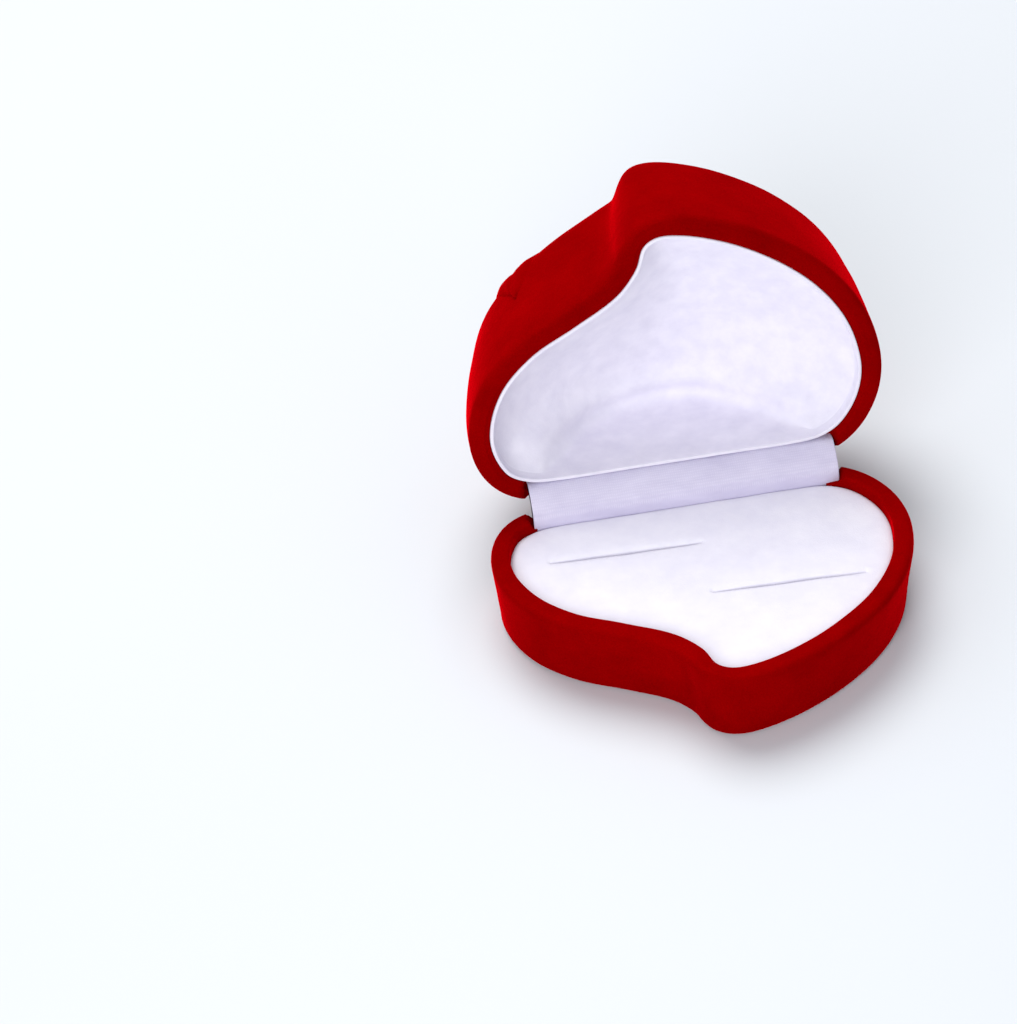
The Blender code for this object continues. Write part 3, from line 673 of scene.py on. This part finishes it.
class Nodes:
    """Small helper that wires one material's nodes."""

    def __init__(self, name):
        self.material = bpy.data.materials.new(name)
        self.material.use_nodes = True
        self.tree = self.material.node_tree
        self.shader = self.tree.nodes["Principled BSDF"]
        self.place = self.add("ShaderNodeTexCoord").outputs["Object"]

    def add(self, kind, **settings):
        node = self.tree.nodes.new(kind)
        for key, value in settings.items():
            setattr(node, key, value)
        return node

    def link(self, a, b):
        self.tree.links.new(a, b)

    def noise(self, scale, detail=3.0, roughness=0.5, stretch=None):
        node = self.add("ShaderNodeTexNoise")
        node.inputs["Scale"].default_value = scale
        node.inputs["Detail"].default_value = detail
        node.inputs["Roughness"].default_value = roughness
        source = self.place
        if stretch:
            mapping = self.add("ShaderNodeMapping")
            mapping.inputs["Scale"].default_value = stretch
            self.link(self.place, mapping.inputs["Vector"])
            source = mapping.outputs["Vector"]
        self.link(source, node.inputs["Vector"])
        return node.outputs["Fac"]

    def ramp(self, value, stops):
        node = self.add("ShaderNodeValToRGB")
        elements = node.color_ramp.elements
        while len(elements) < len(stops):
            elements.new(0.5)
        for element, (at, colour) in zip(elements, stops):
            element.position = at
            element.color = (*colour, 1.0)
        self.link(value, node.inputs["Fac"])
        return node.outputs["Color"]

    def math(self, operation, a, b):
        node = self.add("ShaderNodeMath", operation=operation)
        for socket, value in zip(node.inputs, (a, b)):
            if isinstance(value, (int, float)):
                socket.default_value = value
            else:
                self.link(value, socket)
        return node.outputs[0]

    def bump(self, height, strength, depth, before=None):
        node = self.add("ShaderNodeBump")
        node.inputs["Strength"].default_value = strength
        node.inputs["Distance"].default_value = depth
        self.link(height, node.inputs["Height"])
        if before is not None:
            self.link(before, node.inputs["Normal"])
        return node.outputs["Normal"]


def velvet(name, dark, light, sheen):
    """Short flock: fine fibre grain, soft patches where the nap lies another way, coloured sheen."""
    m = Nodes(name)
    patches = m.noise(120, 3.0, 0.6)
    grain = m.noise(3600, 2.0, 0.7)
    blend = m.math("ADD", m.math("MULTIPLY", patches, 0.55), m.math("MULTIPLY", grain, 0.45))
    m.link(m.ramp(blend, ((0.25, dark), (0.75, light))), m.shader.inputs["Base Color"])
    rough = m.math("ADD", m.math("MULTIPLY", grain, 0.12), 0.86)
    m.link(rough, m.shader.inputs["Roughness"])
    m.shader.inputs["Specular IOR Level"].default_value = 0.0
    m.shader.inputs["Sheen Weight"].default_value = 0.9
    m.shader.inputs["Sheen Roughness"].default_value = 0.34
    m.shader.inputs["Sheen Tint"].default_value = (*sheen, 1.0)
    coarse = m.bump(m.noise(620, 3.0, 0.6), 0.35, 0.00022)
    fine = m.bump(m.noise(2600, 3.0, 0.75), 0.55, 0.00010, coarse)
    m.link(fine, m.shader.inputs["Normal"])
    return m.material


def satin(name, dark, light):
    """The liner: fine pressed flock with faint mottling and a soft gloss."""
    m = Nodes(name)
    mottle = m.noise(260, 4.0, 0.6)
    m.link(m.ramp(mottle, ((0.3, dark), (0.7, light))), m.shader.inputs["Base Color"])
    m.link(m.math("ADD", m.math("MULTIPLY", m.noise(1500, 2.0), 0.2), 0.42), m.shader.inputs["Roughness"])
    m.shader.inputs["Specular IOR Level"].default_value = 0.35
    m.shader.inputs["Sheen Weight"].default_value = 0.25
    m.shader.inputs["Sheen Roughness"].default_value = 0.4
    coarse = m.bump(m.noise(420, 4.0, 0.6), 0.25, 0.0002)
    m.link(m.bump(m.noise(3000, 2.0, 0.6), 0.25, 0.00006, coarse), m.shader.inputs["Normal"])
    return m.material


def foam_cloth(name, dark, light):
    """The cushion's velour face: matte, with a very fine nap."""
    m = Nodes(name)
    m.link(m.ramp(m.noise(220, 3.0, 0.6), ((0.3, dark), (0.7, light))), m.shader.inputs["Base Color"])
    m.shader.inputs["Roughness"].default_value = 0.92
    m.shader.inputs["Specular IOR Level"].default_value = 0.15
    m.shader.inputs["Sheen Weight"].default_value = 0.35
    m.shader.inputs["Sheen Roughness"].default_value = 0.5
    coarse = m.bump(m.noise(700, 3.0, 0.6), 0.2, 0.0002)
    m.link(m.bump(m.noise(4200, 2.0, 0.7), 0.45, 0.00008, coarse), m.shader.inputs["Normal"])
    return m.material


def woven(name, dark, light):
    """A thin plain weave: crossing thread waves over faint streaks."""
    m = Nodes(name)
    waves_out = []
    for direction in ("X", "Y"):
        wave = m.add("ShaderNodeTexWave", bands_direction=direction, wave_type="BANDS")
        wave.inputs["Scale"].default_value = 900.0
        wave.inputs["Distortion"].default_value = 1.2
        wave.inputs["Detail"].default_value = 1.0
        m.link(m.place, wave.inputs["Vector"])
        waves_out.append(wave.outputs["Fac"])
    weave = m.math("MULTIPLY", waves_out[0], waves_out[1])
    streaks = m.noise(300, 4.0, 0.65, stretch=(0.35, 1.0, 1.0))
    tone = m.math("ADD", m.math("MULTIPLY", streaks, 0.8), m.math("MULTIPLY", weave, 0.2))
    m.link(m.ramp(tone, ((0.3, dark), (0.72, light))), m.shader.inputs["Base Color"])
    m.shader.inputs["Roughness"].default_value = 0.75
    m.shader.inputs["Sheen Weight"].default_value = 0.3
    m.shader.inputs["Sheen Roughness"].default_value = 0.35
    m.link(m.bump(weave, 0.4, 0.00006, m.bump(streaks, 0.3, 0.0002)), m.shader.inputs["Normal"])
    return m.material


def plated_steel(name):
    """Rolled and plated strip: fine draw lines, small dull spots."""
    m = Nodes(name)
    lines = m.noise(1400, 3.0, 0.6, stretch=(0.04, 1.0, 1.0))
    spots = m.noise(500, 3.0, 0.7)
    tone = m.ramp(spots, ((0.35, (0.42, 0.41, 0.40)), (0.65, (0.66, 0.65, 0.64))))
    m.link(tone, m.shader.inputs["Base Color"])
    m.link(m.math("ADD", m.math("MULTIPLY", lines, 0.22), 0.2), m.shader.inputs["Roughness"])
    m.shader.inputs["Metallic"].default_value = 1.0
    m.link(m.bump(lines, 0.2, 0.00003), m.shader.inputs["Normal"])
    return m.material


def card_board(name):
    """Grey card with a fine fibre grain."""
    m = Nodes(name)
    tone = m.ramp(m.noise(600, 5.0, 0.7), ((0.3, (0.42, 0.38, 0.32)), (0.7, (0.56, 0.52, 0.45))))
    m.link(tone, m.shader.inputs["Base Color"])
    m.shader.inputs["Roughness"].default_value = 0.9
    m.link(m.bump(m.noise(1800, 3.0), 0.3, 0.00008), m.shader.inputs["Normal"])
    return m.material


def floor():
    data = bpy.data.meshes.new("floor")
    half = 1.6
    corners = [(-half, -half, 0), (half, -half, 0), (half, half, 0), (-half, half, 0)]
    data.from_pydata(corners, [], [(0, 1, 2, 3)])
    obj = bpy.data.objects.new("floor", data)
    obj.location.z = -0.0001
    bpy.context.scene.collection.objects.link(obj)
    m = Nodes("pale_floor")
    tone = m.ramp(m.noise(3, 2.0), ((0.3, (0.70, 0.73, 0.77)), (0.7, (0.74, 0.77, 0.81))))
    m.link(tone, m.shader.inputs["Base Color"])
    m.shader.inputs["Roughness"].default_value = 0.6
    m.shader.inputs["Specular IOR Level"].default_value = 0.3
    data.materials.append(m.material)


def area_light(name, spot, aim, size, power, colour):
    data = bpy.data.lights.new(name, "AREA")
    data.shape = "DISK"
    data.size = size
    data.energy = power
    data.color = colour
    obj = bpy.data.objects.new(name, data)
    obj.location = spot
    obj.rotation_euler = (Vector(aim) - Vector(spot)).to_track_quat("-Z", "Y").to_euler()
    bpy.context.scene.collection.objects.link(obj)


def lights():
    world = bpy.data.worlds.new("studio")
    world.use_nodes = True
    world.node_tree.nodes["Background"].inputs["Color"].default_value = (0.93, 0.96, 1.0, 1.0)
    world.node_tree.nodes["Background"].inputs["Strength"].default_value = 0.40
    bpy.context.scene.world = world
    area_light("key", (-0.06, 0.30, 0.56), (0.0, 0.01, 0.02), 0.50, 3.3, (1.0, 0.99, 0.98))
    area_light("front", (-0.30, -0.58, 0.36), (0.0, 0.0, 0.02), 0.44, 3.4, (0.97, 0.98, 1.0))
    bpy.context.scene.view_settings.view_transform = "Standard"


def camera():
    """At the viewer's place: in front, a little to the left and 41 degrees above."""
    data = bpy.data.cameras.new("camera")
    data.sensor_width = 36.0
    data.lens = 118.2
    data.clip_start = 0.01
    data.clip_end = 10.0
    obj = bpy.data.objects.new("camera", data)
    ahead = Vector((0.0853, 0.7518, -0.6538)).normalized()
    right = Vector((0.984, -0.1655, -0.062))
    right = (right - ahead * right.dot(ahead)).normalized()
    up = right.cross(ahead)
    turn = Matrix((right, up, -ahead)).transposed()
    obj.matrix_world = Matrix.Translation(Vector((-0.07355, -0.37664, 0.36023))) @ turn.to_4x4()
    bpy.context.scene.collection.objects.link(obj)
    bpy.context.scene.camera = obj


def build():
    red = velvet("red_velvet", (0.17, 0.0, 0.0002), (0.31, 0.0001, 0.0005), (1.0, 0.0, 0.006))
    white = satin("white_satin", (0.80, 0.77, 0.88), (0.90, 0.87, 0.96))
    pad = foam_cloth("white_velour", (0.78, 0.76, 0.86), (0.84, 0.82, 0.90))
    cloth = woven("strip_cloth", (0.62, 0.58, 0.76), (0.76, 0.72, 0.88))
    steel = plated_steel("plated_steel")
    board = card_board("grey_card")
    tree = lid_tree()

    base = base_flock(red)
    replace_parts(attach(base, "base"), "base_shell")
    lid = lid_flock(red)
    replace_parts(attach(lid, "lid"), "lid_shell")
    bowl = liner(white)
    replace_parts(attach(bowl, "lid"), "lid_liner")
    bloom = rose(red, tree)
    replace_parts(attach(bloom, "lid"), "rose_bloom")
    ends = ((-8.6, 9.2, 37.6), (3.0, 6.2, 37.6))
    right = leaf("leaf_right", ends, 6.2, (-2.0, 8.0, -300.0), red, tree, lift=1.45, fold=0.3, bend=0.6)
    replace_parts(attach(right, "lid"), "rose_leaf_right")
    ends = ((-14.5, 4.0, 38.5), (-22.6, -7.2, 26.0))
    shape = {"lift": 1.0, "bend": -0.8, "fold": 0.3, "fade": 0.5, "crisp": 4.0}
    left = leaf("leaf_left", ends, 5.2, (-14.0, 4.5, 22.0), red, tree, **shape)
    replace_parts(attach(left, "lid"), "rose_leaf_left")

    foam = cushion(pad)
    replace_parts(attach(foam, "base"), "ring_pad")
    strip, length = hinge_strip(cloth)
    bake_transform(strip)
    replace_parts(strip, "hinge_cover")

    looks = dict.fromkeys(STEEL_NODES, steel) | {"pad_card": board}
    for node, material in looks.items():
        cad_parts[node].data.materials.clear()
        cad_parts[node].data.materials.append(material)
    floor()
    lights()
    camera()


build()
